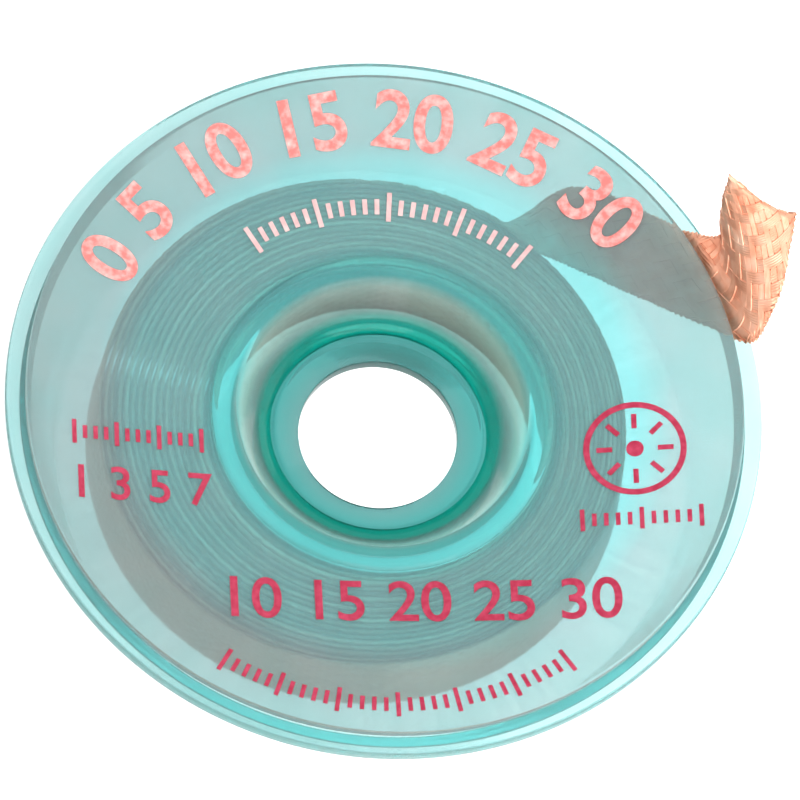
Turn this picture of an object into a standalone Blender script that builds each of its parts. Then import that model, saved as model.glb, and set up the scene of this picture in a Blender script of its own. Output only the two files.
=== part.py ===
"""A small bobbin of copper desoldering braid, lying flat with its front face up.

Metres, +Z up. The origin is on the bobbin's axis, at the surface that it lies on, and +X is the photograph's
right. The bobbin is two moulded halves with the wound braid between them. The braid's free end leaves
through the slot at the rim and turns up.
"""

import math

import bmesh
import bpy
from mathutils import Vector

MM = 0.001

# The braid as stock
BRAID_WIDTH = 4.8 * MM
BRAID_THICKNESS = 0.3 * MM

# The winding. Its inner turn is true to the hub, and its outer turn has slipped to one side.
COIL_BORE_RADIUS = 9.4 * MM
COIL_RADIUS = 15.6 * MM
COIL_GROOVES = 6
GROOVE_DEPTH = 0.25 * MM
COIL_OFF_CENTRE = Vector((-1.0 * MM, -0.3 * MM, 0))

# The front disc
DISC_RADIUS = 20.8 * MM
DISC_WALL = 0.55 * MM
DISH_RISE = 1.95 * MM

# The back tray. Its lip stands out beyond the disc, and its wall ends a little inside the disc's edge.
LIP_REACH = 1.1 * MM
LIP_WALL = 0.7 * MM
LIP_CURL = 0.7 * MM
TRAY_WALL = 0.8 * MM
TRAY_FOOT_RADIUS = 17.8 * MM
TRAY_TOP_INSET = 0.5 * MM
TRAY_TOP_DROP = 0.4 * MM

# The funnel-shaped hub
HUB_WALL = 0.8 * MM
CREST_RADIUS = 8.5 * MM
CREST_WIDTH = 1.3 * MM
CREST_RISE = 0.45 * MM
LEDGE_RADIUS = 7.0 * MM
LEDGE_DEPTH = 2.3 * MM
SPIGOT_RADIUS = 6.1 * MM
THROAT_RADIUS = 4.6 * MM
THROAT_LENGTH = 0.8 * MM
THROAT_SLOPE = 0.75 * MM

# Clearances
REST_GAP = 0.3 * MM
CLEARANCE = 0.2 * MM
EDGE_ROUND = 0.15 * MM
CORNER_ROUND = 0.4 * MM

# The free end. It runs under the disc along a straight line at this heading, this far from the axis.
TAIL_HEADING = math.radians(-14)
TAIL_OFFSET = 16.05 * MM
TWIST_START = -1.0 * MM
TWIST_END = 5.0 * MM
LEAD_IN_ANGLES = (104, 96, 88)

# Where the free end's tip stands: its outer and inner corner's rise over the lip and distance outside it
TIP_RISE = 7.1 * MM
TIP_STAND = 0.8 * MM
FOLD_RISE = 4.8 * MM
FOLD_STAND = 3.9 * MM

# The free end's two edges up to the tip: share of the stand, angle about the axis, and share of the rise
OUTER_EDGE = ((1.12, 42.8, 0.03), (1.06, 43.2, 0.10), (1.00, 43.6, 0.21), (0.94, 43.9, 0.37),
              (0.90, 44.1, 0.54), (0.92, 44.2, 0.70), (0.97, 44.3, 0.86), (1.02, 44.3, 1.00))
INNER_EDGE = ((0.10, 25.2, 0.15), (0.30, 27.2, 0.35), (0.54, 30.2, 0.58), (0.77, 34.0, 0.81),
              (1.00, 37.4, 1.00))

TURN_STEPS = 48
ROUND_STEPS = 2
TWIST_STEPS = 3
TAIL_STEPS = 4
TAIL_STRIPS = 6

# The steepness at which the free end climbs out from under the disc's edge
EXIT_STEEPNESS = 1.2

# Radii and heights that follow from the sizes above
LIP_RADIUS = DISC_RADIUS + LIP_REACH
TRAY_TOP_RADIUS = DISC_RADIUS - TRAY_TOP_INSET
COIL_BOTTOM = TRAY_WALL + REST_GAP
COIL_TOP = COIL_BOTTOM + BRAID_WIDTH
COIL_MIDDLE = (COIL_BOTTOM + COIL_TOP) / 2
DISC_UNDER = COIL_TOP + REST_GAP
CREST_TOP = DISC_UNDER + DISC_WALL + CREST_RISE
HUB_MIDDLE = CREST_TOP / 2
SLOT = BRAID_THICKNESS + 2 * CLEARANCE
LIP_UNDER_DISC = DISC_UNDER + DISH_RISE - SLOT
LIP_TOP = LIP_UNDER_DISC + LIP_CURL

# The cone between the crest and the ledge, and the sideways width of its slanted wall
CONE_SLOPE = (CREST_RADIUS - LEDGE_RADIUS) / LEDGE_DEPTH
CONE_WIDTH = HUB_WALL * math.hypot(1, CONE_SLOPE)


def cone_radius(depth):
    """The radius of the hub's coil side, this deep below the crest of either half."""
    return CREST_RADIUS + CONE_WIDTH - CONE_SLOPE * depth


ROOT_RADIUS = cone_radius(CREST_TOP - DISC_UNDER)


def under_disc(radius):
    """The height of the dished disc's underside at a radius."""
    return DISC_UNDER + DISH_RISE * (radius - ROOT_RADIUS) / (DISC_RADIUS - ROOT_RADIUS)


def rounded(corners):
    """The closed outline through (radius, height, rounding) corners, with an arc at each rounded one."""
    outline = []
    for index, (radius, height, rounding) in enumerate(corners):
        corner = Vector((radius, height))
        if not rounding:
            outline.append(corner)
            continue
        back = (Vector(corners[index - 1][:2]) - corner).normalized()
        ahead = (Vector(corners[(index + 1) % len(corners)][:2]) - corner).normalized()
        half = back.angle(ahead) / 2
        reach = rounding / math.tan(half)
        centre = corner + (back + ahead).normalized() * rounding / math.sin(half)
        first = (corner + back * reach - centre).normalized()
        last = (corner + ahead * reach - centre).normalized()
        for step in range(ROUND_STEPS + 1):
            outline.append(centre + first.slerp(last, step / ROUND_STEPS) * rounding)
    return outline


def principled(name, colour, roughness, metallic, transmission=0.0):
    """A plain Principled material."""
    material = bpy.data.materials.new(name)
    material.use_nodes = True
    shader = material.node_tree.nodes["Principled BSDF"]
    shader.inputs["Base Color"].default_value = (*colour, 1)
    shader.inputs["Roughness"].default_value = roughness
    shader.inputs["Metallic"].default_value = metallic
    shader.inputs["Transmission Weight"].default_value = transmission
    return material


def add_object(name, mesh, collection, material=None):
    """Links an object of this mesh to a collection."""
    obj = bpy.data.objects.new(name, mesh)
    collection.objects.link(obj)
    if material:
        mesh.materials.append(material)
    mesh.shade_smooth()
    return obj


def turned(name, outline, collection, material):
    """A solid turned about the axis from a closed outline, which runs down its outer side."""
    mesh = bpy.data.meshes.new(name)
    points = [(point.x, 0, point.y) for point in outline]
    edges = [(index, (index + 1) % len(points)) for index in range(len(points))]
    mesh.from_pydata(points, edges, [])
    obj = add_object(name, mesh, collection, material)
    screw = obj.modifiers.new("turn", "SCREW")
    screw.axis = "Z"
    screw.steps = TURN_STEPS
    screw.render_steps = TURN_STEPS
    screw.use_merge_vertices = True
    screw.merge_threshold = 0.01 * MM
    screw.use_smooth_shade = True
    return obj


def front_outline():
    """The front half: the dished disc, the crest ring, and the funnel down to its socket."""
    disc_rim = under_disc(DISC_RADIUS)
    crest_foot = CREST_RADIUS + CREST_WIDTH + EDGE_ROUND
    socket_radius = SPIGOT_RADIUS + CLEARANCE
    socket_bottom = HUB_MIDDLE + REST_GAP / 2
    ledge_top = CREST_TOP - LEDGE_DEPTH
    return rounded([
        (DISC_RADIUS, disc_rim + DISC_WALL, EDGE_ROUND),
        (DISC_RADIUS, disc_rim, EDGE_ROUND),
        (ROOT_RADIUS, DISC_UNDER, CORNER_ROUND),
        (cone_radius(CREST_TOP - socket_bottom), socket_bottom, EDGE_ROUND),
        (socket_radius, socket_bottom, EDGE_ROUND),
        (socket_radius, ledge_top - EDGE_ROUND, 0),
        (LEDGE_RADIUS, ledge_top, EDGE_ROUND),
        (CREST_RADIUS, CREST_TOP, CORNER_ROUND),
        (CREST_RADIUS + CREST_WIDTH, CREST_TOP, CORNER_ROUND),
        (crest_foot, under_disc(crest_foot) + DISC_WALL, EDGE_ROUND),
    ])


def back_outline():
    """The back half: the lip, the tray's wall and web, and the funnel up to its spigot."""
    wall_top = LIP_UNDER_DISC - TRAY_TOP_DROP
    shoulder = HUB_MIDDLE - REST_GAP / 2
    throat_bottom = HUB_MIDDLE - THROAT_LENGTH / 2
    throat_top = HUB_MIDDLE + THROAT_LENGTH / 2
    return rounded([
        (LIP_RADIUS, LIP_TOP, EDGE_ROUND),
        (LIP_RADIUS, LIP_TOP - LIP_WALL, EDGE_ROUND),
        (TRAY_TOP_RADIUS + TRAY_WALL, wall_top, CORNER_ROUND),
        (TRAY_FOOT_RADIUS + TRAY_WALL, 0, CORNER_ROUND),
        (CREST_RADIUS, 0, CORNER_ROUND),
        (LEDGE_RADIUS, LEDGE_DEPTH, EDGE_ROUND),
        (THROAT_RADIUS, throat_bottom, EDGE_ROUND),
        (THROAT_RADIUS, throat_top, EDGE_ROUND),
        (SPIGOT_RADIUS, throat_top + THROAT_SLOPE, EDGE_ROUND),
        (SPIGOT_RADIUS, shoulder, 0),
        (cone_radius(shoulder), shoulder, EDGE_ROUND),
        (cone_radius(TRAY_WALL), TRAY_WALL, CORNER_ROUND),
        (TRAY_FOOT_RADIUS, TRAY_WALL, CORNER_ROUND),
        (TRAY_TOP_RADIUS, wall_top, CORNER_ROUND),
        (DISC_RADIUS, LIP_UNDER_DISC, CORNER_ROUND),
    ])


def coil_outline():
    """The winding: a ring whose two ends have a groove between its turns."""
    pitch = (COIL_RADIUS - COIL_BORE_RADIUS) / (COIL_GROOVES + 1)
    grooves = [COIL_RADIUS - pitch * (index + 1) for index in range(COIL_GROOVES)]
    lower = [Vector((COIL_RADIUS, COIL_BOTTOM))]
    upper = [Vector((COIL_RADIUS, COIL_TOP))]
    for radius in grooves:
        for offset, depth in ((GROOVE_DEPTH, 0), (0, GROOVE_DEPTH), (-GROOVE_DEPTH, 0)):
            lower.append(Vector((radius + offset, COIL_BOTTOM + depth)))
            upper.append(Vector((radius + offset, COIL_TOP - depth)))
    lower.append(Vector((COIL_BORE_RADIUS, COIL_BOTTOM)))
    upper.append(Vector((COIL_BORE_RADIUS, COIL_TOP)))
    return lower + upper[::-1]


def slip_turns(winding):
    """Slips each turn's centre to one side, the further the wider the turn, on a mesh of the turned ring."""
    graph = bpy.context.evaluated_depsgraph_get()
    mesh = bpy.data.meshes.new_from_object(winding.evaluated_get(graph))
    for vertex in mesh.vertices:
        outness = (vertex.co.xy.length - COIL_BORE_RADIUS) / (COIL_RADIUS - COIL_BORE_RADIUS)
        vertex.co += COIL_OFF_CENTRE * outness
    winding.modifiers.clear()
    winding.data = mesh


def polar(radius, degrees, height):
    """A point at a radius and angle about the bobbin's axis."""
    angle = math.radians(degrees)
    return Vector((radius * math.cos(angle), radius * math.sin(angle), height))


def on_coil(degrees, height):
    """A point in the winding's outer turn."""
    return polar(COIL_RADIUS - BRAID_THICKNESS, degrees, height) + COIL_OFF_CENTRE


def along_tail(distance, offset):
    """The place this far along the tail's heading and this far from the axis, at floor height."""
    ahead = Vector((math.cos(TAIL_HEADING), math.sin(TAIL_HEADING), 0))
    outward = Vector((-math.sin(TAIL_HEADING), math.cos(TAIL_HEADING), 0))
    return ahead * distance + outward * offset


def tucked(place):
    """The place raised to where the strip lies just below the disc."""
    lowered = under_disc(math.hypot(place.x, place.y)) - CLEARANCE - BRAID_THICKNESS / 2
    return Vector((place.x, place.y, lowered))


def pressed(place):
    """The place, held down below the disc, and below a steep slope between the disc's edge and the lip's."""
    radius = math.hypot(place.x, place.y)
    if radius > LIP_RADIUS - CLEARANCE:
        return place
    ceiling = tucked(place).z + EXIT_STEEPNESS * max(radius - DISC_RADIUS - CLEARANCE, 0)
    return Vector((place.x, place.y, min(place.z, ceiling)))


def reach(radius, offset):
    """How far along its heading a line at this offset meets a circle of this radius."""
    return math.sqrt(radius * radius - offset * offset)


def twisted_pair(distance):
    """The strip's outer and inner edge where it turns from standing on edge to lying flat."""
    share = (distance - TWIST_START) / (TWIST_END - TWIST_START)
    share = share * share * (3 - 2 * share)
    twist = math.radians(90) * share
    start_offset = COIL_RADIUS - BRAID_THICKNESS + COIL_OFF_CENTRE.dot(along_tail(0, 1))
    middle_offset = start_offset + (TAIL_OFFSET - start_offset) * share
    middle_height = COIL_MIDDLE + (under_disc(TAIL_OFFSET) - SLOT / 2 - COIL_MIDDLE) * share
    half_width = BRAID_WIDTH / 2 - CLEARANCE * (1 - share)
    pair = []
    for side in (1, -1):
        place = along_tail(distance, middle_offset + side * math.sin(twist) * half_width)
        place.z = middle_height - side * math.cos(twist) * half_width
        pair.append(place.lerp(tucked(place), share))
    return tuple(pair)


def tail_stations():
    """Pairs of points on the strip's outer and inner edge, from the winding to the free end."""
    outer = TAIL_OFFSET + BRAID_WIDTH / 2
    inner = TAIL_OFFSET - BRAID_WIDTH / 2
    stations = [(on_coil(angle, COIL_BOTTOM + CLEARANCE), on_coil(angle, COIL_TOP - CLEARANCE))
                for angle in LEAD_IN_ANGLES]
    twist_step = (TWIST_END - TWIST_START) / TWIST_STEPS
    stations += [twisted_pair(TWIST_START + twist_step * step) for step in range(TWIST_STEPS + 1)]
    middle = (TWIST_END + reach(DISC_RADIUS, outer)) / 2
    exit_outer = reach(LIP_RADIUS - CLEARANCE, outer)
    exit_inner = reach(LIP_RADIUS - CLEARANCE, inner)
    stations.append((tucked(along_tail(middle, outer)), tucked(along_tail(middle, inner))))
    over_lip = LIP_TOP + CLEARANCE + BRAID_THICKNESS / 2
    outer_exit = along_tail(exit_outer, outer) + Vector((0, 0, over_lip))
    stations.append((outer_exit, tucked(along_tail(exit_outer, inner))))

    under_rim = reach(DISC_RADIUS, inner)
    outer_edge = [polar(LIP_RADIUS + TIP_STAND * stand, degrees, over_lip + TIP_RISE * rise)
                  for stand, degrees, rise in OUTER_EDGE]
    inner_edge = [
        tucked(along_tail((exit_outer + under_rim) / 2, inner)),
        tucked(along_tail(under_rim, inner)),
        along_tail(exit_inner, inner) + Vector((0, 0, over_lip)),
    ]
    inner_edge += [polar(LIP_RADIUS + FOLD_STAND * stand, degrees, over_lip + FOLD_RISE * rise)
                   for stand, degrees, rise in INNER_EDGE]
    return stations + list(zip(outer_edge, inner_edge))


def smooth_route(points):
    """A curve through the points, with TAIL_STEPS steps between each two."""
    route = []
    for index in range(len(points) - 1):
        before = points[max(index - 1, 0)]
        start, end = points[index], points[index + 1]
        after = points[min(index + 2, len(points) - 1)]
        for step in range(TAIL_STEPS):
            share = step / TAIL_STEPS
            bend = (2 * before - 5 * start + 4 * end - after) * share
            rise = (3 * start - before - 3 * end + after) * share * share
            route.append(start + (end - before + bend + rise) * share / 2)
    route.append(points[-1])
    return route


def tail_strip(collection):
    """The free end as one flat strip, its near end buried in the winding's outer turn."""
    outer, inner = (smooth_route(edge) for edge in zip(*tail_stations()))
    shape = bmesh.new()
    shares = [step / TAIL_STRIPS for step in range(TAIL_STRIPS + 1)]
    rows = [[shape.verts.new(pressed(start.lerp(end, share))) for share in shares]
            for start, end in zip(outer, inner)]
    for row, following in zip(rows, rows[1:]):
        for step in range(TAIL_STRIPS):
            shape.faces.new((row[step], row[step + 1], following[step + 1], following[step]))
    mesh = bpy.data.meshes.new("tail_strip")
    shape.to_mesh(mesh)
    shape.free()
    obj = add_object("tail_strip", mesh, collection)
    solidify = obj.modifiers.new("thickness", "SOLIDIFY")
    solidify.thickness = BRAID_THICKNESS
    solidify.offset = 0
    obj.hide_render = True
    obj.display_type = "WIRE"
    return obj


def main():
    for old in list(bpy.data.objects):
        bpy.data.objects.remove(old)
    parts = bpy.data.collections.new("desoldering_braid")
    cutters = bpy.data.collections.new("joined_shapes")
    for collection in (parts, cutters):
        bpy.context.scene.collection.children.link(collection)
    front_plastic = principled("front_plastic", (0.20, 0.68, 0.64), 0.25, 0, 0.6)
    back_plastic = principled("back_plastic", (0.20, 0.68, 0.64), 0.25, 0, 0.6)
    copper = principled("copper", (0.86, 0.46, 0.28), 0.35, 1)
    turned("front_half", front_outline(), parts, front_plastic)
    turned("back_half", back_outline(), parts, back_plastic)
    braid = turned("copper_braid", coil_outline(), parts, copper)
    slip_turns(braid)
    join = braid.modifiers.new("join_tail", "BOOLEAN")
    join.operation = "UNION"
    join.object = tail_strip(cutters)


main()
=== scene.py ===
"""The looks of a small bobbin of desoldering braid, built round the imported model.

Two translucent mouldings hold the wound copper braid. Its woven free end leaves through the slot at the rim,
and the front disc carries a red dial-like print. Metres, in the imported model's own frame.
"""

import math
import random

import bmesh
import bpy
import numpy as np
from mathutils import Matrix, Vector


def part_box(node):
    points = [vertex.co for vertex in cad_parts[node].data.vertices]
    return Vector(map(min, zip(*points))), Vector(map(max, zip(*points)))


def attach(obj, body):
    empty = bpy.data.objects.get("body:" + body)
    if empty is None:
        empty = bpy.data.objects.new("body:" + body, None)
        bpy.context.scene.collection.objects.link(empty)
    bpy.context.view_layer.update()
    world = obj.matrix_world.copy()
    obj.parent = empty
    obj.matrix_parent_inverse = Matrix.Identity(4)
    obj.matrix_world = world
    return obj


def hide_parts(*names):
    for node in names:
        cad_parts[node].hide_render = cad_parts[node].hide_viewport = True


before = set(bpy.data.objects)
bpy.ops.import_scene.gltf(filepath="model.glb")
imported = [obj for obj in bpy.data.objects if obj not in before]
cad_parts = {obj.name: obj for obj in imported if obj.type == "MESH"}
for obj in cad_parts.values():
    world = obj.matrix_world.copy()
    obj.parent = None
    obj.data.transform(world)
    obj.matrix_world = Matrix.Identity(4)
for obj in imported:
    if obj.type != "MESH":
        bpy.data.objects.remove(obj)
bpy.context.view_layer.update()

MM = 0.001
LUCK = random.Random(7)

# Outer sizes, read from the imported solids
DISC_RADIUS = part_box("front_half")[1].x
DISC_RIM_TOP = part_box("front_half")[1].z
LIP_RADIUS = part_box("back_half")[1].x
LIP_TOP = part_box("back_half")[1].z

# The braid
BRAID_WIDTH = 4.8 * MM
BRAID_THICKNESS = 0.3 * MM
COIL_BORE_RADIUS = 9.4 * MM
COIL_RADIUS = 15.6 * MM
COIL_OFF_CENTRE = Vector((-1.0 * MM, -0.3 * MM, 0))

# The two mouldings
DISC_WALL = 0.55 * MM
DISH_RISE = 1.95 * MM
LIP_WALL = 0.7 * MM
LIP_CURL = 0.7 * MM
TRAY_WALL = 0.8 * MM
TRAY_FOOT_RADIUS = 17.8 * MM
TRAY_TOP_RADIUS = DISC_RADIUS - 0.5 * MM
TRAY_TOP_DROP = 0.4 * MM
HUB_WALL = 0.8 * MM
CREST_RADIUS = 8.5 * MM
CREST_WIDTH = 1.3 * MM
CREST_RISE = 0.45 * MM
LEDGE_RADIUS = 7.0 * MM
LEDGE_DEPTH = 2.3 * MM
SPIGOT_RADIUS = 6.1 * MM
THROAT_RADIUS = 4.6 * MM
THROAT_LENGTH = 0.8 * MM
THROAT_SLOPE = 0.75 * MM
REST_GAP = 0.3 * MM
CLEARANCE = 0.2 * MM
EDGE_ROUND = 0.15 * MM
CORNER_ROUND = 0.4 * MM
TURN_STEPS = 240
ROUND_STEPS = 5

# Heights that follow
DISC_UNDER = DISC_RIM_TOP - DISC_WALL - DISH_RISE
CREST_TOP = DISC_UNDER + DISC_WALL + CREST_RISE
HUB_MIDDLE = CREST_TOP / 2
COIL_TOP = DISC_UNDER - REST_GAP
COIL_BOTTOM = COIL_TOP - BRAID_WIDTH
COIL_MIDDLE = (COIL_TOP + COIL_BOTTOM) / 2
LIP_UNDER_DISC = LIP_TOP - LIP_CURL
SLOT = BRAID_THICKNESS + 2 * CLEARANCE
CONE_SLOPE = (CREST_RADIUS - LEDGE_RADIUS) / LEDGE_DEPTH
CONE_WIDTH = HUB_WALL * math.hypot(1, CONE_SLOPE)
ROOT_RADIUS = CREST_RADIUS + CONE_WIDTH - CONE_SLOPE * (CREST_TOP - DISC_UNDER)

# The free end's straight run under the disc
TAIL_HEADING = math.radians(-14)
TAIL_OFFSET = 16.05 * MM
EXIT_STEEPNESS = 1.2
TWIST_START = -1.0 * MM
TWIST_END = 5.0 * MM
TWIST_STEPS = 3
LEAD_IN_ANGLES = (104, 96, 88)

# Where the free end's tip stands: its outer and inner corner's rise over the lip and distance outside it
TIP_RISE = 7.1 * MM
TIP_STAND = 0.8 * MM
FOLD_RISE = 4.8 * MM
FOLD_STAND = 3.9 * MM

# The free end's two edges up to the tip: share of the stand, angle about the axis, and share of the rise
OUTER_EDGE = ((1.12, 42.8, 0.03), (1.06, 43.2, 0.10), (1.00, 43.6, 0.21), (0.94, 43.9, 0.37),
              (0.90, 44.1, 0.54), (0.92, 44.2, 0.70), (0.97, 44.3, 0.86), (1.02, 44.3, 1.00))
INNER_EDGE = ((0.10, 25.2, 0.15), (0.30, 27.2, 0.35), (0.54, 30.2, 0.58), (0.77, 34.0, 0.81),
              (1.00, 37.4, 1.00))

# The winding's turns
WOUND_TURNS = 18.5
STEPS_PER_TURN = 240
TURN_THICKNESS = 0.25 * MM
TURN_SHOULDER = 0.1 * MM
TURN_CROWN = 0.5
LEAST_SINK = 0.02 * MM
MOST_SINK = 0.2 * MM
SINK_BELOW = 0.6
TURN_LEAN = 0.04 * MM
RIPPLE = 0.03 * MM
RIPPLE_ACROSS = 0.4
RIPPLE_PITCH = 0.42 * MM

# The weave
CARRIERS = 16
WIRES_PER_CARRIER = 5
WEAVE_SLOPE = 0.75
WEAVE_SWING = 0.045 * MM
WEAVE_CORE = 0.05 * MM
WIRE_RISE = 0.065 * MM
WIRE_DIP = 0.015 * MM
WEAVE_STEP = 0.25 * MM
CARRIER_FILL = 0.95
FRAY = 0.12 * MM
END_HOLLOW = 0.35 * MM
HOLLOW_SHARPNESS = 8
TUBE_FLAT = BRAID_WIDTH - 2 * WEAVE_CORE
TUBE_WAY = 2 * (TUBE_FLAT + math.pi * WEAVE_CORE)

# The print
PRINT_TILT = 14.0
INK_LIFT = 0.03 * MM
INK_DEPTH = 0.03 * MM
INK_EDGE = 0.9 * MM
INK_SPLITS = 3
INK_WELD = 0.001 * MM
STROKE_WIDTH = 0.26 * MM
PALE_STROKE_WIDTH = 0.28 * MM
FONT_SIZE_OVER_HEIGHT = 1.35
BOLD = 0.03
SEMIBOLD = 0.012
TOP_LABELS = (("0", 164), ("5", 152), ("10", 136), ("15", 116.5), ("20", 97), ("25", 77.5), ("30", 58))
TOP_LABEL_RADIUS = 17.9 * MM
TOP_LABEL_HEIGHT = 3.5 * MM
PALE_ARC_RADIUS = 12.9 * MM
LOWER_ARC_RADIUS = 18.9 * MM
LEFT_ROW = (-17.0 * MM, -6.2 * MM)
LEFT_LABELS = (-15.9 * MM, -9.3 * MM)
RIGHT_ROW = (12.6 * MM, -3.9 * MM)
LOWER_LABELS = (-4.9 * MM, -13.7 * MM)
RING_PLACE = (14.6 * MM, 1.2 * MM)
RING_RADIUS = 2.95 * MM
RING_LINE = 0.35 * MM
RING_HUB_RADIUS = 0.5 * MM
RING_STROKE_RADIUS = 1.75 * MM

# The plastic: how clear it is, the colour that its thick parts turn to, and how fast they do, per metre
PLASTIC_IOR = 1.3
PLASTIC_CLEARNESS = 0.79
TINT_COLOUR = (0.1, 0.91, 0.905)
TINT_DENSITY = 230

# The mouldings' colours at rings about the axis, over their tint, with the hub's light and shade painted in
# Front: painted shade in the dark ring round the bore, painted grey for the copper seen through the funnel
# wall, painted light on the funnel's top and a painted highlight on the crest ring; the disc outside keeps
# the tint
FRONT_SHADE_AND_HIGHLIGHT_RINGS = (
    (6.9 * MM, (0.01, 0.54, 0.43)),
    (7.3 * MM, (0.44, 0.45, 0.43)),
    (7.8 * MM, (0.60, 0.61, 0.57)),
    (8.2 * MM, (0.88, 0.92, 0.84)),
    (8.7 * MM, (0.28, 0.83, 0.84)),
    (9.6 * MM, (0.34, 0.87, 0.88)),
    (10.8 * MM, (0.54, 0.89, 0.90)),
    (14.6 * MM, (0.52, 0.87, 0.89)),
    (16.8 * MM, (0.66, 0.72, 0.73)),
    (20.6 * MM, (0.65, 0.72, 0.72)),
)
# Back: painted shade darkening the throat and the spigot, paler over the tray, and darker again at the lip's
# outer edge
BACK_SHADE_RINGS = (
    (THROAT_RADIUS, (0.19, 0.38, 0.37)),
    (SPIGOT_RADIUS, (0.11, 0.43, 0.41)),
    (CREST_RADIUS, (0.50, 0.80, 0.79)),
    (11 * MM, (0.76, 0.90, 0.905)),
    (20.4 * MM, (0.84, 0.92, 0.92)),
    (21.2 * MM, (0.60, 0.83, 0.83)),
)

# The copper's colours from dark to bright, and the painted shade on the free end where the disc covers it
WOVEN_COLOURS = ((0.28, (0.80, 0.33, 0.20)), (0.5, (0.93, 0.47, 0.31)), (0.75, (0.97, 0.61, 0.45)))
# The wound turns' copper is painted darker than the free end's, as shade inside the bobbin
SHADED_WOUND_COLOURS = ((0.30, (0.14, 0.10, 0.08)), (0.5, (0.37, 0.26, 0.19)), (0.72, (0.72, 0.54, 0.42)))
COVER_SHADE_RINGS = ((19.6 * MM, (0.48, 0.66, 0.70)), (21.0 * MM, (1, 1, 1)))

# The inks' colours, each where the ink is thin and where it is full
SALMON = ((0.95, 0.60, 0.56), (0.76, 0.20, 0.18))
PALE_ROSE = ((0.85, 0.62, 0.60), (0.72, 0.42, 0.42))
CRIMSON = ((0.60, 0.05, 0.12), (0.42, 0.008, 0.05))

# The studio
FLOOR_HALF = 1.2
FLOOR_GLOW = (0.82, 1.75)
KEY_PLACE = (0.7, 0.45, 0.5)
KEY_WATTS = 3.0
FILL_PLACE = (0.35, -0.7, 0.5)
FILL_WATTS = 6.0
LIGHT_WIDTH = 0.9

# The camera.
VIEW_ELEVATION = math.radians(65.0)
VIEW_ROLL = math.radians(13.4)
VIEW_DISTANCE = 1400 * MM
PIXELS_PER_METRE = 17370
PICTURE_WIDTH = 800
AIM_RIGHT = 15.5
AIM_UP = 6.1
SENSOR_WIDTH = 36.0
NEAREST_SEEN = 0.05


# Mesh helpers


def mesh_piece(name, points, faces, material=None):
    """A smooth-shaded mesh object."""
    mesh = bpy.data.meshes.new(name)
    mesh.from_pydata(points, [], faces)
    mesh.shade_smooth()
    obj = bpy.data.objects.new(name, mesh)
    bpy.context.scene.collection.objects.link(obj)
    if material:
        mesh.materials.append(material)
    return obj


def rounded(corners):
    """The closed outline through (radius, height, rounding) corners, with an arc at each rounded one."""
    outline = []
    for index, (radius, height, rounding) in enumerate(corners):
        corner = Vector((radius, height))
        if not rounding:
            outline.append(corner)
            continue
        back = (Vector(corners[index - 1][:2]) - corner).normalized()
        ahead = (Vector(corners[(index + 1) % len(corners)][:2]) - corner).normalized()
        half = back.angle(ahead) / 2
        centre = corner + (back + ahead).normalized() * rounding / math.sin(half)
        first = (corner + back * rounding / math.tan(half) - centre).normalized()
        last = (corner + ahead * rounding / math.tan(half) - centre).normalized()
        for step in range(ROUND_STEPS + 1):
            outline.append(centre + first.slerp(last, step / ROUND_STEPS) * rounding)
    return outline


def turned(name, outline, material):
    """A solid turned about the axis from a closed outline, which runs down its outer side."""
    points = []
    for turn in range(TURN_STEPS):
        angle = 2 * math.pi * turn / TURN_STEPS
        points += [(p.x * math.cos(angle), p.x * math.sin(angle), p.y) for p in outline]
    count = len(outline)
    faces = []
    for turn in range(TURN_STEPS):
        here = turn * count
        there = (turn + 1) % TURN_STEPS * count
        for index in range(count):
            ahead = (index + 1) % count
            faces.append((here + index, here + ahead, there + ahead, there + index))
    return mesh_piece(name, points, faces, material)


def swept_faces(first, rows, count):
    """The faces of a closed section of count points carried through rows, with both ends closed."""
    faces = []
    for row in range(rows):
        here = first + row * count
        for index in range(count):
            ahead = (index + 1) % count
            faces.append((here + index, here + ahead, here + count + ahead, here + count + index))
    last = first + rows * count
    faces.append(tuple(range(first, first + count)))
    faces.append(tuple(range(last, last + count)))
    return faces


def outward(obj):
    """The object, with its faces turned outward."""
    shape = bmesh.new()
    shape.from_mesh(obj.data)
    bmesh.ops.recalc_face_normals(shape, faces=shape.faces)
    shape.to_mesh(obj.data)
    shape.free()
    return obj


# Materials


def shader_nodes(name):
    """A new material with its node tree, its Principled shader and its object coordinates."""
    material = bpy.data.materials.new(name)
    material.use_nodes = True
    tree = material.node_tree
    shader = tree.nodes["Principled BSDF"]
    place = tree.nodes.new("ShaderNodeTexCoord").outputs["Object"]
    return material, tree, shader, place


def noise(tree, place, scale, detail=3.0):
    """A noise texture's value."""
    texture = tree.nodes.new("ShaderNodeTexNoise")
    texture.inputs["Scale"].default_value = scale
    texture.inputs["Detail"].default_value = detail
    tree.links.new(place, texture.inputs["Vector"])
    return texture.outputs["Fac"]


def ramp(tree, value, stops):
    """A colour ramp from (position, colour) stops."""
    node = tree.nodes.new("ShaderNodeValToRGB")
    while len(node.color_ramp.elements) < len(stops):
        node.color_ramp.elements.new(0.5)
    for element, (position, colour) in zip(node.color_ramp.elements, stops):
        element.position = position
        element.color = (*colour, 1)
    tree.links.new(value, node.inputs["Fac"])
    return node.outputs["Color"]


def spread(tree, value, low, high):
    """The value, from 0 to 1, spread between low and high."""
    node = tree.nodes.new("ShaderNodeMapRange")
    node.inputs["To Min"].default_value = low
    node.inputs["To Max"].default_value = high
    tree.links.new(value, node.inputs["Value"])
    return node.outputs["Result"]


def bump(tree, shader, height, distance, strength=1.0):
    """Links a bump of this height to the shader."""
    node = tree.nodes.new("ShaderNodeBump")
    node.inputs["Distance"].default_value = distance
    node.inputs["Strength"].default_value = strength
    tree.links.new(height, node.inputs["Height"])
    tree.links.new(node.outputs["Normal"], shader.inputs["Normal"])


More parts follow.
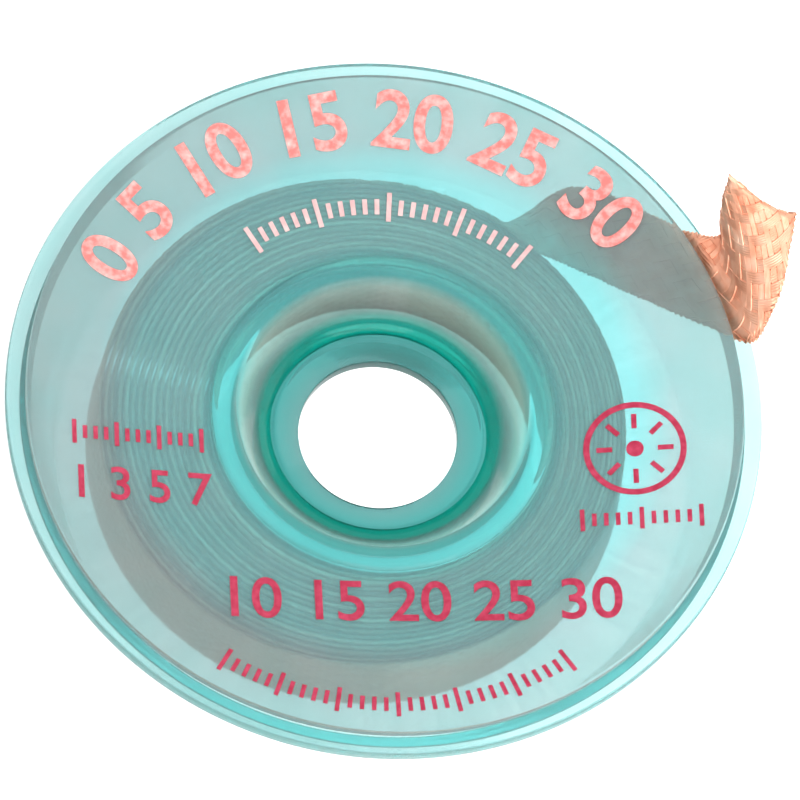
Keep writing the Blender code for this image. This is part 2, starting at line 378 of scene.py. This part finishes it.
def axis_distance(tree, place, centre=(0, 0, 0)):
    """The distance from an upright axis through the centre."""
    offset = tree.nodes.new("ShaderNodeVectorMath")
    offset.operation = "SUBTRACT"
    offset.inputs[1].default_value = centre
    tree.links.new(place, offset.inputs[0])
    flat = tree.nodes.new("ShaderNodeVectorMath")
    flat.operation = "MULTIPLY"
    flat.inputs[1].default_value = (1, 1, 0)
    tree.links.new(offset.outputs["Vector"], flat.inputs[0])
    length = tree.nodes.new("ShaderNodeVectorMath")
    length.operation = "LENGTH"
    tree.links.new(flat.outputs["Vector"], length.inputs[0])
    return length.outputs["Value"]


def by_radius(tree, place, rings):
    """A colour that changes smoothly with the distance from the axis, from (radius, colour) rings."""
    share = tree.nodes.new("ShaderNodeMapRange")
    share.inputs["From Max"].default_value = LIP_RADIUS
    tree.links.new(axis_distance(tree, place), share.inputs["Value"])
    stops = [(radius / LIP_RADIUS, colour) for radius, colour in rings]
    return ramp(tree, share.outputs["Result"], stops)


def multiplied(tree, first, second):
    """Two colours multiplied."""
    node = tree.nodes.new("ShaderNodeMix")
    node.data_type = "RGBA"
    node.blend_type = "MULTIPLY"
    node.inputs["Factor"].default_value = 1
    tree.links.new(first, node.inputs["A"])
    tree.links.new(second, node.inputs["B"])
    return node.outputs["Result"]


def translucent_plastic(name, rings):
    """Moulded translucent plastic: colour rings with the hub's light and shade painted in, faint flow
    clouding, a satin skin, and a tint that grows with depth.
    """
    material, tree, shader, place = shader_nodes(name)
    flow = noise(tree, place, scale=260, detail=1.0)
    clouding = ramp(tree, flow, ((0.3, (0.90, 0.985, 0.98)), (0.7, (1, 1, 1))))
    # The base colour carries the rings' painted light and shade of the hub
    colour = multiplied(tree, by_radius(tree, place, rings), clouding)
    tree.links.new(colour, shader.inputs["Base Color"])
    skin = noise(tree, place, scale=900, detail=1.0)
    tree.links.new(spread(tree, skin, low=0.06, high=0.14), shader.inputs["Roughness"])
    shader.inputs["IOR"].default_value = PLASTIC_IOR
    shader.inputs["Transmission Weight"].default_value = PLASTIC_CLEARNESS
    shader.inputs["Specular IOR Level"].default_value = 0.5
    bump(tree, shader, noise(tree, place, scale=700, detail=2.0), distance=0.02 * MM, strength=0.3)
    depth = tree.nodes.new("ShaderNodeVolumeAbsorption")
    depth.inputs["Color"].default_value = (*TINT_COLOUR, 1)
    depth.inputs["Density"].default_value = TINT_DENSITY
    tree.links.new(depth.outputs["Volume"], tree.nodes["Material Output"].inputs["Volume"])
    return material


def woven_copper(name):
    """Bright bare copper wire, a little uneven in colour, with painted shade where the disc covers it."""
    material, tree, shader, place = shader_nodes(name)
    colour = ramp(tree, noise(tree, place, scale=900, detail=4.0), WOVEN_COLOURS)
    # Painted shade: darker within the disc's radius, where the disc shades the strip
    cover_shade = by_radius(tree, place, COVER_SHADE_RINGS)
    tree.links.new(multiplied(tree, colour, cover_shade), shader.inputs["Base Color"])
    shader.inputs["Metallic"].default_value = 0.85
    wear = noise(tree, place, scale=2500)
    tree.links.new(spread(tree, wear, low=0.34, high=0.5), shader.inputs["Roughness"])
    bump(tree, shader, noise(tree, place, scale=6000, detail=2.0), distance=0.01 * MM, strength=0.6)
    return material


def shaded_wound_copper(name):
    """The wound turns' copper, painted darker than the free end as shade inside the bobbin: each turn
    darkened a little differently at random, with the weave as relief.
    """
    material, tree, shader, place = shader_nodes(name)
    rings = tree.nodes.new("ShaderNodeTexNoise")
    rings.noise_dimensions = "1D"
    rings.inputs["Scale"].default_value = 1500
    rings.inputs["Detail"].default_value = 2.0
    drift = tree.nodes.new("ShaderNodeMath")
    drift.operation = "MULTIPLY_ADD"
    drift.inputs[1].default_value = 0.5 * MM
    tree.links.new(noise(tree, place, scale=90, detail=1.0), drift.inputs[0])
    tree.links.new(axis_distance(tree, place, COIL_OFF_CENTRE / 2), drift.inputs[2])
    tree.links.new(drift.outputs["Value"], rings.inputs["W"])
    # Painted shade: these colours are darker than the free end's copper
    tree.links.new(ramp(tree, rings.outputs["Fac"], SHADED_WOUND_COLOURS), shader.inputs["Base Color"])
    shader.inputs["Metallic"].default_value = 0.8
    wear = noise(tree, place, scale=1800, detail=1.0)
    tree.links.new(spread(tree, wear, low=0.4, high=0.6), shader.inputs["Roughness"])
    bump(tree, shader, woven_height(tree), distance=0.06 * MM)
    return material


def woven_height(tree):
    """The height of crossing diagonal strands, from a map whose units are millimetres along and across."""
    plane = tree.nodes.new("ShaderNodeUVMap").outputs["UV"]
    crossing = []
    for lean in (1, -1):
        mapping = tree.nodes.new("ShaderNodeMapping")
        mapping.inputs["Rotation"].default_value = (0, 0, lean * math.atan(WEAVE_SLOPE))
        tree.links.new(plane, mapping.inputs["Vector"])
        wave = tree.nodes.new("ShaderNodeTexWave")
        wave.bands_direction = "Y"
        wave.inputs["Scale"].default_value = 0.5
        tree.links.new(mapping.outputs["Vector"], wave.inputs["Vector"])
        crossing.append(wave.outputs["Fac"])
    top = tree.nodes.new("ShaderNodeMath")
    top.operation = "MAXIMUM"
    tree.links.new(crossing[0], top.inputs[0])
    tree.links.new(crossing[1], top.inputs[1])
    return top.outputs["Value"]


def ink(name, colours):
    """Screen-printed ink, from its colours where it is thin and where it is full."""
    material, tree, shader, place = shader_nodes(name)
    thin, full = colours
    cover = noise(tree, place, scale=2200, detail=4.0)
    tree.links.new(ramp(tree, cover, ((0.40, full), (0.80, thin))), shader.inputs["Base Color"])
    wear = noise(tree, place, scale=3000)
    tree.links.new(spread(tree, wear, low=0.35, high=0.55), shader.inputs["Roughness"])
    bump(tree, shader, noise(tree, place, scale=2500, detail=3.0), distance=0.01 * MM, strength=0.5)
    return material


def pale_floor(name):
    """A plain near-white surface with a faint grain, glowing a little more toward the right."""
    material, tree, shader, place = shader_nodes(name)
    grain = noise(tree, place, scale=40, detail=4.0)
    tree.links.new(ramp(tree, grain, ((0.3, (0.30, 0.30, 0.30)), (0.7, (0.34, 0.34, 0.34)))),
                   shader.inputs["Base Color"])
    shader.inputs["Roughness"].default_value = 0.7
    shader.inputs["Specular IOR Level"].default_value = 0.2
    shader.inputs["Emission Color"].default_value = (1, 1, 1, 1)
    split = tree.nodes.new("ShaderNodeSeparateXYZ")
    tree.links.new(place, split.inputs["Vector"])
    glow = tree.nodes.new("ShaderNodeMapRange")
    glow.inputs["From Min"].default_value = -LIP_RADIUS
    glow.inputs["From Max"].default_value = LIP_RADIUS
    glow.inputs["To Min"].default_value = FLOOR_GLOW[0]
    glow.inputs["To Max"].default_value = FLOOR_GLOW[1]
    tree.links.new(split.outputs["X"], glow.inputs["Value"])
    tree.links.new(glow.outputs["Result"], shader.inputs["Emission Strength"])
    return material


# The mouldings


def cone_radius(depth):
    """The radius of the hub's coil side, this deep below the crest of either half."""
    return CREST_RADIUS + CONE_WIDTH - CONE_SLOPE * depth


def under_disc(radius):
    """The height of the dished disc's underside at a radius."""
    return DISC_UNDER + DISH_RISE * (radius - ROOT_RADIUS) / (DISC_RADIUS - ROOT_RADIUS)


def front_shell(material):
    """The front half: the dished disc, the crest ring, and the funnel down to its socket."""
    crest_foot = CREST_RADIUS + CREST_WIDTH + EDGE_ROUND
    socket_radius = SPIGOT_RADIUS + CLEARANCE
    socket_bottom = HUB_MIDDLE + REST_GAP / 2
    ledge_top = CREST_TOP - LEDGE_DEPTH
    return turned("front_shell", rounded([
        (DISC_RADIUS, DISC_RIM_TOP, EDGE_ROUND),
        (DISC_RADIUS, DISC_RIM_TOP - DISC_WALL, EDGE_ROUND),
        (ROOT_RADIUS, DISC_UNDER, CORNER_ROUND),
        (cone_radius(CREST_TOP - socket_bottom), socket_bottom, EDGE_ROUND),
        (socket_radius, socket_bottom, EDGE_ROUND),
        (socket_radius, ledge_top - EDGE_ROUND, 0),
        (LEDGE_RADIUS, ledge_top, EDGE_ROUND),
        (CREST_RADIUS, CREST_TOP, CORNER_ROUND),
        (CREST_RADIUS + CREST_WIDTH, CREST_TOP, CORNER_ROUND),
        (crest_foot, under_disc(crest_foot) + DISC_WALL, EDGE_ROUND),
    ]), material)


def back_shell(material):
    """The back half: the lip, the tray's wall and web, and the funnel up to its spigot."""
    wall_top = LIP_UNDER_DISC - TRAY_TOP_DROP
    shoulder = HUB_MIDDLE - REST_GAP / 2
    throat_bottom = HUB_MIDDLE - THROAT_LENGTH / 2
    throat_top = HUB_MIDDLE + THROAT_LENGTH / 2
    return turned("back_shell", rounded([
        (LIP_RADIUS, LIP_TOP, EDGE_ROUND),
        (LIP_RADIUS, LIP_TOP - LIP_WALL, EDGE_ROUND),
        (TRAY_TOP_RADIUS + TRAY_WALL, wall_top, CORNER_ROUND),
        (TRAY_FOOT_RADIUS + TRAY_WALL, 0, CORNER_ROUND),
        (CREST_RADIUS, 0, CORNER_ROUND),
        (LEDGE_RADIUS, LEDGE_DEPTH, EDGE_ROUND),
        (THROAT_RADIUS, throat_bottom, EDGE_ROUND),
        (THROAT_RADIUS, throat_top, EDGE_ROUND),
        (SPIGOT_RADIUS, throat_top + THROAT_SLOPE, EDGE_ROUND),
        (SPIGOT_RADIUS, shoulder, 0),
        (cone_radius(shoulder), shoulder, EDGE_ROUND),
        (cone_radius(TRAY_WALL), TRAY_WALL, CORNER_ROUND),
        (TRAY_FOOT_RADIUS, TRAY_WALL, CORNER_ROUND),
        (TRAY_TOP_RADIUS, wall_top, CORNER_ROUND),
        (DISC_RADIUS, LIP_UNDER_DISC, CORNER_ROUND),
    ]), material)


# The braid


def polar(radius, degrees, height):
    """A point at a radius and angle about the bobbin's axis."""
    angle = math.radians(degrees)
    return Vector((radius * math.cos(angle), radius * math.sin(angle), height))


def on_coil(degrees, height):
    """A point in the winding's outer turn."""
    return polar(COIL_RADIUS - BRAID_THICKNESS, degrees, height) + COIL_OFF_CENTRE


def along_tail(distance, offset):
    """The place this far along the tail's heading and this far from the axis, at floor height."""
    ahead = Vector((math.cos(TAIL_HEADING), math.sin(TAIL_HEADING), 0))
    outward = Vector((-math.sin(TAIL_HEADING), math.cos(TAIL_HEADING), 0))
    return ahead * distance + outward * offset


def tucked(place):
    """The place raised to where the strip lies just below the disc."""
    lowered = under_disc(math.hypot(place.x, place.y)) - CLEARANCE - BRAID_THICKNESS / 2
    return Vector((place.x, place.y, lowered))


def pressed(place):
    """The place, held down below the disc, and below a steep slope between the disc's edge and the lip's."""
    radius = math.hypot(place.x, place.y)
    if radius > LIP_RADIUS - CLEARANCE:
        return place
    ceiling = tucked(place).z + EXIT_STEEPNESS * max(radius - DISC_RADIUS - CLEARANCE, 0)
    return Vector((place.x, place.y, min(place.z, ceiling)))


def reach(radius, offset):
    """How far along its heading a line at this offset meets a circle of this radius."""
    return math.sqrt(radius * radius - offset * offset)


def twisted_pair(distance):
    """The strip's outer and inner edge where it turns from standing on edge to lying flat."""
    share = (distance - TWIST_START) / (TWIST_END - TWIST_START)
    share = share * share * (3 - 2 * share)
    twist = math.radians(90) * share
    start_offset = COIL_RADIUS - BRAID_THICKNESS + COIL_OFF_CENTRE.dot(along_tail(0, 1))
    middle_offset = start_offset + (TAIL_OFFSET - start_offset) * share
    middle_height = COIL_MIDDLE + (under_disc(TAIL_OFFSET) - SLOT / 2 - COIL_MIDDLE) * share
    half_width = BRAID_WIDTH / 2 - CLEARANCE * (1 - share)
    pair = []
    for side in (1, -1):
        place = along_tail(distance, middle_offset + side * math.sin(twist) * half_width)
        place.z = middle_height - side * math.cos(twist) * half_width
        pair.append(place.lerp(tucked(place), share))
    return tuple(pair)


def tail_stations():
    """Pairs of points on the strip's outer and inner edge, from the winding to the free end."""
    outer = TAIL_OFFSET + BRAID_WIDTH / 2
    inner = TAIL_OFFSET - BRAID_WIDTH / 2
    stations = [(on_coil(angle, COIL_BOTTOM + CLEARANCE), on_coil(angle, COIL_TOP - CLEARANCE))
                for angle in LEAD_IN_ANGLES]
    twist_step = (TWIST_END - TWIST_START) / TWIST_STEPS
    stations += [twisted_pair(TWIST_START + twist_step * step) for step in range(TWIST_STEPS + 1)]
    middle = (TWIST_END + reach(DISC_RADIUS, outer)) / 2
    exit_outer = reach(LIP_RADIUS - CLEARANCE, outer)
    exit_inner = reach(LIP_RADIUS - CLEARANCE, inner)
    stations.append((tucked(along_tail(middle, outer)), tucked(along_tail(middle, inner))))
    over_lip = LIP_TOP + CLEARANCE + BRAID_THICKNESS / 2
    outer_exit = along_tail(exit_outer, outer) + Vector((0, 0, over_lip))
    stations.append((outer_exit, tucked(along_tail(exit_outer, inner))))
    under_rim = reach(DISC_RADIUS, inner)
    outer_edge = [polar(LIP_RADIUS + TIP_STAND * stand, degrees, over_lip + TIP_RISE * rise)
                  for stand, degrees, rise in OUTER_EDGE]
    inner_edge = [
        tucked(along_tail((exit_outer + under_rim) / 2, inner)),
        tucked(along_tail(under_rim, inner)),
        along_tail(exit_inner, inner) + Vector((0, 0, over_lip)),
    ]
    inner_edge += [polar(LIP_RADIUS + FOLD_STAND * stand, degrees, over_lip + FOLD_RISE * rise)
                   for stand, degrees, rise in INNER_EDGE]
    return stations + list(zip(outer_edge, inner_edge))


def smooth_route(points, steps):
    """A curve through the points, with this many steps between each two."""
    route = []
    for index in range(len(points) - 1):
        before = points[max(index - 1, 0)]
        start, end = points[index], points[index + 1]
        after = points[min(index + 2, len(points) - 1)]
        for step in range(steps):
            share = step / steps
            bend = (2 * before - 5 * start + 4 * end - after) * share
            rise = (3 * start - before - 3 * end + after) * share * share
            route.append(start + (end - before + bend + rise) * share / 2)
    route.append(points[-1])
    return route


class Strip:
    """The free end's middle surface, read by distance along it and share across it."""

    ALONG_STEPS = 12
    ACROSS_STEPS = 24

    def __init__(self):
        edges = [smooth_route(edge, self.ALONG_STEPS) for edge in zip(*tail_stations())]
        shares = [step / self.ACROSS_STEPS for step in range(self.ACROSS_STEPS + 1)]
        rows = [[pressed(outer.lerp(inner, share)) for share in shares] for outer, inner in zip(*edges)]
        self.points = np.array([[tuple(point) for point in row] for row in rows])
        middle = self.points[:, self.ACROSS_STEPS // 2]
        legs = np.linalg.norm(np.diff(middle, axis=0), axis=1)
        self.distance = np.concatenate([[0], np.cumsum(legs)])
        self.length = float(self.distance[-1])
        ahead = np.gradient(self.points, axis=0)
        across = np.gradient(self.points, axis=1)
        facing = np.cross(ahead, across)
        self.normals = facing / np.linalg.norm(facing, axis=2, keepdims=True)
        self.across = across / np.linalg.norm(across, axis=2, keepdims=True)

    def read(self, grid, distance, share):
        """The grid's values at these distances along and shares across."""
        row = np.interp(distance, self.distance, np.arange(len(self.distance)))
        column = np.clip(share, 0, 1) * self.ACROSS_STEPS
        low_row = np.minimum(row.astype(int), len(self.distance) - 2)
        low_column = np.minimum(column.astype(int), self.ACROSS_STEPS - 1)
        down = (row - low_row)[..., None]
        over = (column - low_column)[..., None]
        start = grid[low_row, low_column] * (1 - over) + grid[low_row, low_column + 1] * over
        end = grid[low_row + 1, low_column] * (1 - over) + grid[low_row + 1, low_column + 1] * over
        return start * (1 - down) + end * down


def round_flat_tube(way):
    """Places at these ways round the flattened tube: across it, up from it, and its facing there."""
    way = np.mod(way, TUBE_WAY)
    side = np.where(way < TUBE_WAY / 2, 1, -1)
    way = np.mod(way, TUBE_WAY / 2)
    angle = np.maximum(way - TUBE_FLAT, 0) / WEAVE_CORE
    across = WEAVE_CORE + np.minimum(way, TUBE_FLAT) + WEAVE_CORE * np.sin(angle)
    across = np.where(side > 0, across, BRAID_WIDTH - across)
    return across, side * WEAVE_CORE * np.cos(angle), side * np.sin(angle), side * np.cos(angle)


def carrier_section():
    """One carrier's section: its wires side by side as a scalloped top over a flat underside."""
    spacing = TUBE_WAY / CARRIERS * CARRIER_FILL
    steps = 3 * WIRES_PER_CARRIER
    section = [((step / steps - 0.5) * spacing, WIRE_RISE if step % 3 else WIRE_DIP)
               for step in range(steps + 1)]
    section[0] = (section[0][0], -WIRE_DIP)
    section[-1] = (section[-1][0], -WIRE_DIP)
    section.append((spacing / 2, -WIRE_RISE / 2))
    section.append((-spacing / 2, -WIRE_RISE / 2))
    return np.array(section)


def woven_tail(material):
    """The free end as interlaced carriers of fine wires that spiral both ways round a flattened tube."""
    strip = Strip()
    section = carrier_section()
    spacing = TUBE_WAY / CARRIERS
    points, faces = [], []
    for lean in (1, -1):
        for carrier in range(CARRIERS):
            end = strip.length - LUCK.random() * FRAY
            samples = int(end / WEAVE_STEP)
            distance = np.linspace(0, end, samples + 1)[:, None]
            middle = carrier * spacing + lean * WEAVE_SLOPE * distance
            crossing = carrier + middle / spacing
            swing = lean * WEAVE_SWING * np.sin(math.pi / 2 * crossing + math.pi / 4)
            across, up, facing_across, facing_up = round_flat_tube(middle + section[:, 0])
            share = across / BRAID_WIDTH
            hollow = 4 * share * (1 - share) * (distance / strip.length) ** HOLLOW_SHARPNESS
            at = distance - END_HOLLOW * hollow
            lift = swing + section[:, 1]
            place = (strip.read(strip.points, at, share)
                     + strip.read(strip.normals, at, share) * (up + facing_up * lift)[..., None]
                     + strip.read(strip.across, at, share) * (facing_across * lift)[..., None])
            first = len(points)
            points += place.reshape(-1, 3).tolist()
            faces += swept_faces(first, samples, len(section))
    return outward(mesh_piece("woven_free_end", points, faces, material))


def turn_section(low, high):
    """A turn's section between two heights, as offsets from its middle: a strip with its corners eased."""
    half = TURN_THICKNESS / 2
    crown = half * TURN_CROWN
    top = high - TURN_SHOULDER
    foot = low + TURN_SHOULDER
    return ((half, top), (crown, high), (-crown, high), (-half, top),
            (-half, foot), (-crown, low), (crown, low), (half, foot))


def wound_turns(material):
    """The winding as one long strip on edge, each turn a little uneven, and mapped in millimetres.

    Its first turn is a true circle round the hub, and the others spiral out from it.
    """
    steps = int(WOUND_TURNS * STEPS_PER_TURN)
    inner = COIL_BORE_RADIUS + TURN_THICKNESS / 2
    outer = COIL_RADIUS - BRAID_THICKNESS
    whole_turns = math.ceil(WOUND_TURNS) + 1
    sinks = [LUCK.uniform(LEAST_SINK, MOST_SINK) for _ in range(whole_turns)]
    phases = [LUCK.uniform(0, 2 * math.pi) for _ in range(whole_turns)]
    points, spots = [], []
    length = 0.0
    for step in range(steps + 1):
        turn = step / STEPS_PER_TURN
        outness = max(turn - 1, 0) / (WOUND_TURNS - 1)
        angle = math.radians(LEAD_IN_ANGLES[0]) + 2 * math.pi * (WOUND_TURNS - turn)
        index = int(turn)
        share = turn - index
        share = share * share * (3 - 2 * share)
        sink = sinks[index] * (1 - share) + sinks[index + 1] * share
        lean = TURN_LEAN * math.sin(2 * angle + phases[index])
        ripple = RIPPLE * math.sin(length / RIPPLE_PITCH * math.pi)
        radius = inner + (outer - inner) * outness
        length += radius * 2 * math.pi / STEPS_PER_TURN
        centre = COIL_OFF_CENTRE * outness
        low = COIL_BOTTOM + sinks[index + 1] * SINK_BELOW
        high = COIL_TOP - sink + ripple + lean
        section = turn_section(low, high)
        for offset, height in section:
            out = radius + offset + ripple * RIPPLE_ACROSS
            points.append((centre.x + out * math.cos(angle), centre.y + out * math.sin(angle), height))
            spots.append((length / MM, height / MM))
    faces = swept_faces(0, steps, len(section))
    turns = outward(mesh_piece("wound_turns", points, faces, material))
    layer = turns.data.uv_layers.new(name="weave")
    for loop in turns.data.loops:
        layer.data[loop.index].uv = spots[loop.vertex_index]
    return turns


# The print


def flat_curve(outlines):
    """A filled flat curve from closed outlines, one inside another leaving a hole."""
    curve = bpy.data.curves.new("ink_outline", "CURVE")
    curve.dimensions = "2D"
    curve.fill_mode = "BOTH"
    for outline in outlines:
        spline = curve.splines.new("POLY")
        spline.points.add(len(outline) - 1)
        for point, (x, y) in zip(spline.points, outline):
            point.co = (x, y, 0, 1)
        spline.use_cyclic_u = True
    return curve


def numeral_curve(text, height, weight=SEMIBOLD):
    """A bold numeral as a filled text curve."""
    curve = bpy.data.curves.new("ink_numeral", "FONT")
    curve.body = text
    curve.size = height * FONT_SIZE_OVER_HEIGHT
    curve.offset = height * weight
    curve.align_x = "CENTER"
    curve.align_y = "CENTER"
    return curve


def bar(width, height):
    """A rectangle's outline about its middle."""
    x, y = width / 2, height / 2
    return [(-x, -y), (x, -y), (x, y), (-x, y)]


def circle(radius, steps=72):
    """A circle's outline."""
    return [(radius * math.cos(2 * math.pi * step / steps), radius * math.sin(2 * math.pi * step / steps))
            for step in range(steps)]


def on_disc(x, y, lift):
    """The place on the dished disc's face above a point, raised by lift."""
    return Vector((x, y, under_disc(math.hypot(x, y)) + DISC_WALL + lift))


def inked(shape, curve, place, degrees):
    """Adds a curve to the print: filled, laid at a place and heading, and bent to the disc's face."""
    curve.extrude = INK_DEPTH / 2
    holder = bpy.data.objects.new("ink_holder", curve)
    bpy.context.scene.collection.objects.link(holder)
    graph = bpy.context.evaluated_depsgraph_get()
    mesh = bpy.data.meshes.new_from_object(holder.evaluated_get(graph))
    bpy.data.objects.remove(holder)
    bpy.data.curves.remove(curve)
    part = bmesh.new()
    part.from_mesh(mesh)
    bpy.data.meshes.remove(mesh)
    bmesh.ops.remove_doubles(part, verts=part.verts, dist=INK_WELD)
    bmesh.ops.triangulate(part, faces=part.faces)
    for _ in range(INK_SPLITS):
        long_edges = [edge for edge in part.edges if edge.calc_length() > INK_EDGE]
        if not long_edges:
            break
        bmesh.ops.subdivide_edges(part, edges=long_edges, cuts=1)
        bmesh.ops.triangulate(part, faces=part.faces)
    turn = Matrix.Rotation(math.radians(degrees), 2)
    for vert in part.verts:
        spot = turn @ vert.co.xy + Vector(place)
        vert.co = on_disc(spot.x, spot.y, INK_LIFT + INK_DEPTH / 2 + vert.co.z)
    laid = bpy.data.meshes.new("ink_laid")
    part.to_mesh(laid)
    part.free()
    shape.from_mesh(laid)
    bpy.data.meshes.remove(laid)


def print_piece(name, marks, material):
    """One colour's print, from (curve, place, heading) marks."""
    shape = bmesh.new()
    for curve, place, degrees in marks:
        inked(shape, curve, place, degrees)
    mesh = bpy.data.meshes.new(name)
    shape.to_mesh(mesh)
    shape.free()
    mesh.materials.append(material)
    obj = bpy.data.objects.new(name, mesh)
    bpy.context.scene.collection.objects.link(obj)
    return obj


def round_place(radius, degrees):
    """A place on the disc by radius and angle."""
    angle = math.radians(degrees)
    return radius * math.cos(angle), radius * math.sin(angle)


def row_place(start, along):
    """A place this far along a straight row, in the print's own tilted direction."""
    lean = math.radians(PRINT_TILT)
    return start[0] + along * math.cos(lean), start[1] + along * math.sin(lean)


def strokes(count, every, tall, short, width, spot):
    """Dial strokes, a tall one at every so many, where spot(index) gives each one's place and heading."""
    marks = []
    for index in range(count):
        height = short if index % every else tall
        marks.append((flat_curve([bar(width, height)]), *spot(index)))
    return marks


def labels(texts, height, start, pitch):
    """Numerals along a straight row."""
    return [(numeral_curve(text, height), row_place(start, index * pitch), PRINT_TILT)
            for index, text in enumerate(texts)]


def top_arc():
    """Large plain numerals round the top of the disc, as on a dial."""
    marks = []
    for text, degrees in TOP_LABELS:
        spot = round_place(TOP_LABEL_RADIUS, degrees)
        marks.append((numeral_curve(text, TOP_LABEL_HEIGHT, BOLD), spot, degrees - 90))
    return marks


def pale_arc():
    """A faint row of dial strokes inside the numerals."""
    def spot(index):
        degrees = 138 - index * 3.1
        return round_place(PALE_ARC_RADIUS, degrees), degrees - 90

    return strokes(25, 6, 1.7 * MM, 0.9 * MM, PALE_STROKE_WIDTH, spot)


def ring_mark():
    """A plain ring with a dot and eight strokes."""
    marks = [
        (flat_curve([circle(RING_RADIUS), circle(RING_RADIUS - RING_LINE)]), RING_PLACE, 0),
        (flat_curve([circle(RING_HUB_RADIUS, 32)]), RING_PLACE, 0),
    ]
    for index in range(8):
        degrees = index * 45 + PRINT_TILT
        x, y = round_place(RING_STROKE_RADIUS, degrees)
        spot = (RING_PLACE[0] + x, RING_PLACE[1] + y)
        marks.append((flat_curve([bar(0.3 * MM, 0.9 * MM)]), spot, degrees - 90))
    return marks


def crimson_marks():
    """The rows at both sides, the ring mark, and the numerals and scale below the hub."""
    def left_spot(index):
        return row_place(LEFT_ROW, index * 0.62 * MM), PRINT_TILT

    def right_spot(index):
        return row_place(RIGHT_ROW, index * 0.68 * MM), PRINT_TILT

    def lower_spot(index):
        degrees = 253 + index * 2.1
        return round_place(LOWER_ARC_RADIUS, degrees), degrees + 90

    marks = strokes(13, 4, 1.5 * MM, 0.8 * MM, STROKE_WIDTH, left_spot)
    marks += labels(("1", "3", "5", "7"), 2.2 * MM, LEFT_LABELS, 2.3 * MM)
    marks += ring_mark()
    marks += strokes(11, 5, 1.4 * MM, 0.8 * MM, STROKE_WIDTH, right_spot)
    marks += labels(("10", "15", "20", "25", "30"), 2.8 * MM, LOWER_LABELS, 4.9 * MM)
    marks += strokes(31, 5, 1.6 * MM, 0.9 * MM, STROKE_WIDTH, lower_spot)
    return marks


# The studio


def add_floor():
    """A plain pale floor."""
    half = FLOOR_HALF
    corners = [(-half, -half, 0), (half, -half, 0), (half, half, 0), (-half, half, 0)]
    floor = mesh_piece("floor", corners, [(0, 1, 2, 3)], pale_floor("pale_floor"))


def add_light(name, place, watts):
    """A soft square area light aimed at the bobbin's foot."""
    light = bpy.data.lights.new(name, "AREA")
    light.shape = "SQUARE"
    light.size = LIGHT_WIDTH
    light.energy = watts
    obj = bpy.data.objects.new(name, light)
    obj.location = place
    obj.rotation_mode = "QUATERNION"
    obj.rotation_quaternion = (-Vector(place)).to_track_quat("-Z", "Y")
    bpy.context.scene.collection.objects.link(obj)


def add_world():
    """An even near-white surround."""
    world = bpy.data.worlds.new("studio")
    world.use_nodes = True
    world.node_tree.nodes["Background"].inputs["Color"].default_value = (1, 1, 1, 1)
    world.node_tree.nodes["Background"].inputs["Strength"].default_value = 1.0
    bpy.context.scene.world = world


def add_camera():
    """The photograph's view: from above and in front, a little rolled."""
    ahead = Vector((0, math.cos(VIEW_ELEVATION), -math.sin(VIEW_ELEVATION)))
    level = Vector((1, 0, 0))
    above = level.cross(ahead)
    right = level * math.cos(VIEW_ROLL) + above * math.sin(VIEW_ROLL)
    up = above * math.cos(VIEW_ROLL) - level * math.sin(VIEW_ROLL)
    aim = Vector((0, 0, LIP_TOP)) + (right * AIM_RIGHT + up * AIM_UP) / PIXELS_PER_METRE
    data = bpy.data.cameras.new("camera")
    data.sensor_width = SENSOR_WIDTH
    data.lens = VIEW_DISTANCE * PIXELS_PER_METRE / PICTURE_WIDTH * SENSOR_WIDTH
    data.clip_start = NEAREST_SEEN
    camera = bpy.data.objects.new("camera", data)
    turn = Matrix((right, up, -ahead)).transposed()
    camera.matrix_world = Matrix.Translation(aim - ahead * VIEW_DISTANCE) @ turn.to_4x4()
    bpy.context.scene.collection.objects.link(camera)
    bpy.context.scene.camera = camera


def main():
    add_camera()
    front_plastic = translucent_plastic("front_plastic", FRONT_SHADE_AND_HIGHLIGHT_RINGS)
    back_plastic = translucent_plastic("back_plastic", BACK_SHADE_RINGS)
    wound = shaded_wound_copper("shaded_wound_copper")
    woven = woven_copper("woven_copper")
    salmon = ink("salmon_ink", SALMON)
    pale_rose = ink("pale_ink", PALE_ROSE)
    crimson = ink("crimson_ink", CRIMSON)
    pieces = [
        (front_shell(front_plastic), "front_plastic", "front_half"),
        (back_shell(back_plastic), "back_plastic", "back_half"),
        (wound_turns(wound), "copper", "copper_braid"),
        (woven_tail(woven), "copper", "copper_braid"),
        (print_piece("salmon_numerals", top_arc(), salmon), "front_plastic", None),
        (print_piece("pale_strokes", pale_arc(), pale_rose), "front_plastic", None),
        (print_piece("crimson_scales", crimson_marks(), crimson), "front_plastic", None),
    ]
    for piece, slot, node in pieces:
        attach(piece, "root")
        if node:
            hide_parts(node)
    add_floor()
    add_world()
    add_light("key", KEY_PLACE, KEY_WATTS)
    add_light("fill", FILL_PLACE, FILL_WATTS)
    scene = bpy.context.scene
    scene.view_settings.view_transform = "Standard"
    scene.cycles.adaptive_threshold = 0.08
    scene.cycles.max_bounces = 9
    scene.cycles.transmission_bounces = 9
    scene.cycles.diffuse_bounces = 2
    scene.cycles.glossy_bounces = 3


main()
